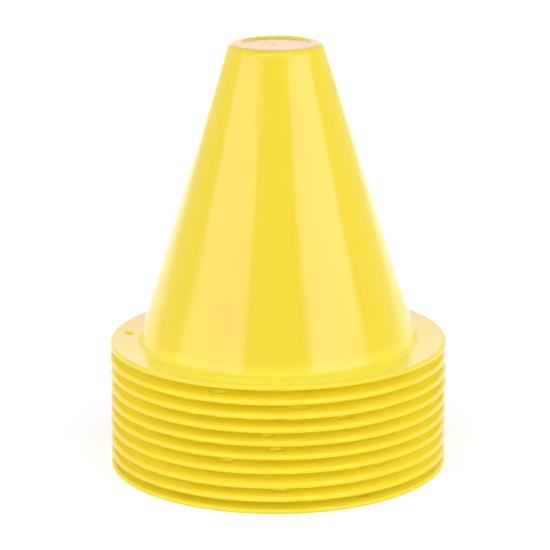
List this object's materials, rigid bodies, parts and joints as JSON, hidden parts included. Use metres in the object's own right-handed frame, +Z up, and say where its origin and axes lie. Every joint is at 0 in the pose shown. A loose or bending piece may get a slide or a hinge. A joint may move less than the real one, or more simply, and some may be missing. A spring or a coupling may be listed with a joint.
{
  "type": "sports marker cone stack",
  "caption": "Nested stack of small sports marker cones, each a thin tapered moulding with a round foot flange and a recessed closed top.",
  "frame": {"origin": "on the ground, at the centre of the bottom cone's foot", "axes": "+Z up along the axis of the cones"},
  "size_m": [0.079, 0.079, 0.0994],
  "materials": {
    "yellow_plastic": "gloss"
  },
  "bodies": {
    "cone_01": {"cone_01": "yellow_plastic"},
    "cone_02": {"cone_02": "yellow_plastic"},
    "cone_03": {"cone_03": "yellow_plastic"},
    "cone_04": {"cone_04": "yellow_plastic"},
    "cone_05": {"cone_05": "yellow_plastic"},
    "cone_06": {"cone_06": "yellow_plastic"},
    "cone_07": {"cone_07": "yellow_plastic"},
    "cone_08": {"cone_08": "yellow_plastic"},
    "cone_09": {"cone_09": "yellow_plastic"},
    "cone_10": {"cone_10": "yellow_plastic"}
  },
  "joints": [
    {"name": "lift_cone_02", "type": "slide", "parent": "cone_01", "child": "cone_02", "axis": [0, 0, 1], "range_m": [0, 0.075]},
    {"name": "lift_cone_03", "type": "slide", "parent": "cone_02", "child": "cone_03", "axis": [0, 0, 1], "range_m": [0, 0.075]},
    {"name": "lift_cone_04", "type": "slide", "parent": "cone_03", "child": "cone_04", "axis": [0, 0, 1], "range_m": [0, 0.075]},
    {"name": "lift_cone_05", "type": "slide", "parent": "cone_04", "child": "cone_05", "axis": [0, 0, 1], "range_m": [0, 0.075]},
    {"name": "lift_cone_06", "type": "slide", "parent": "cone_05", "child": "cone_06", "axis": [0, 0, 1], "range_m": [0, 0.075]},
    {"name": "lift_cone_07", "type": "slide", "parent": "cone_06", "child": "cone_07", "axis": [0, 0, 1], "range_m": [0, 0.075]},
    {"name": "lift_cone_08", "type": "slide", "parent": "cone_07", "child": "cone_08", "axis": [0, 0, 1], "range_m": [0, 0.075]},
    {"name": "lift_cone_09", "type": "slide", "parent": "cone_08", "child": "cone_09", "axis": [0, 0, 1], "range_m": [0, 0.075]},
    {"name": "lift_cone_10", "type": "slide", "parent": "cone_09", "child": "cone_10", "axis": [0, 0, 1], "range_m": [0, 0.075]}
  ]
}
